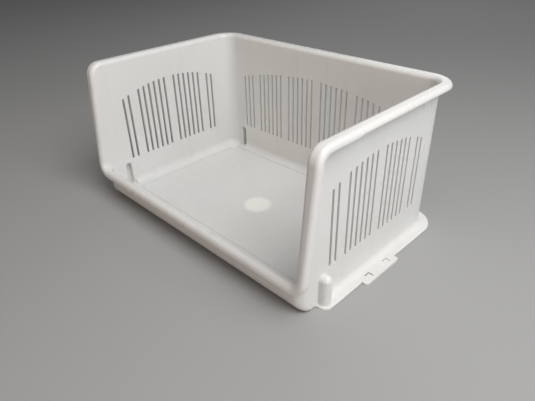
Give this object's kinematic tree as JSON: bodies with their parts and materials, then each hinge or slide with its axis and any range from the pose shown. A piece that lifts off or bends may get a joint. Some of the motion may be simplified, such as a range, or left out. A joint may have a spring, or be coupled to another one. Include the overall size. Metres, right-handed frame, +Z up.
{
  "type": "open-fronted stacking bin",
  "caption": "Open-fronted rectangular plastic tray or bin with slotted walls, a low curved front lip, a rolled edge, a foot flange with link tabs and hollow posts.",
  "frame": {"origin": "middle of the footprint, on the ground", "axes": "+X to the right seen from the open front, +Y from the front to the back, +Z up"},
  "size_m": [0.3716, 0.2392, 0.17],
  "materials": {
    "moulding": "semi-gloss off-white injection moulding"
  },
  "bodies": {
    "root": {"back_foot_flange": "moulding", "back_left_corner": "moulding", "back_left_foot_corner": "moulding", "back_left_rim_corner": "moulding", "back_right_corner": "moulding", "back_right_foot_corner": "moulding", "back_right_rim_corner": "moulding", "back_rim": "moulding", "back_wall": "moulding", "floor_panel": "moulding", "front_cove": "moulding", "front_lip": "moulding", "left_back_post": "moulding", "left_foot_flange": "moulding", "left_front_cheek": "moulding", "left_front_edge": "moulding", "left_front_post": "moulding", "left_link_tab": "moulding", "left_lip_corner": "moulding", "left_rim": "moulding", "left_top_corner": "moulding", "left_wall": "moulding", "right_back_post": "moulding", "right_foot_flange": "moulding", "right_front_cheek": "moulding", "right_front_edge": "moulding", "right_front_post": "moulding", "right_link_tab": "moulding", "right_lip_corner": "moulding", "right_rim": "moulding", "right_top_corner": "moulding", "right_wall": "moulding"}
  },
  "joints": []
}
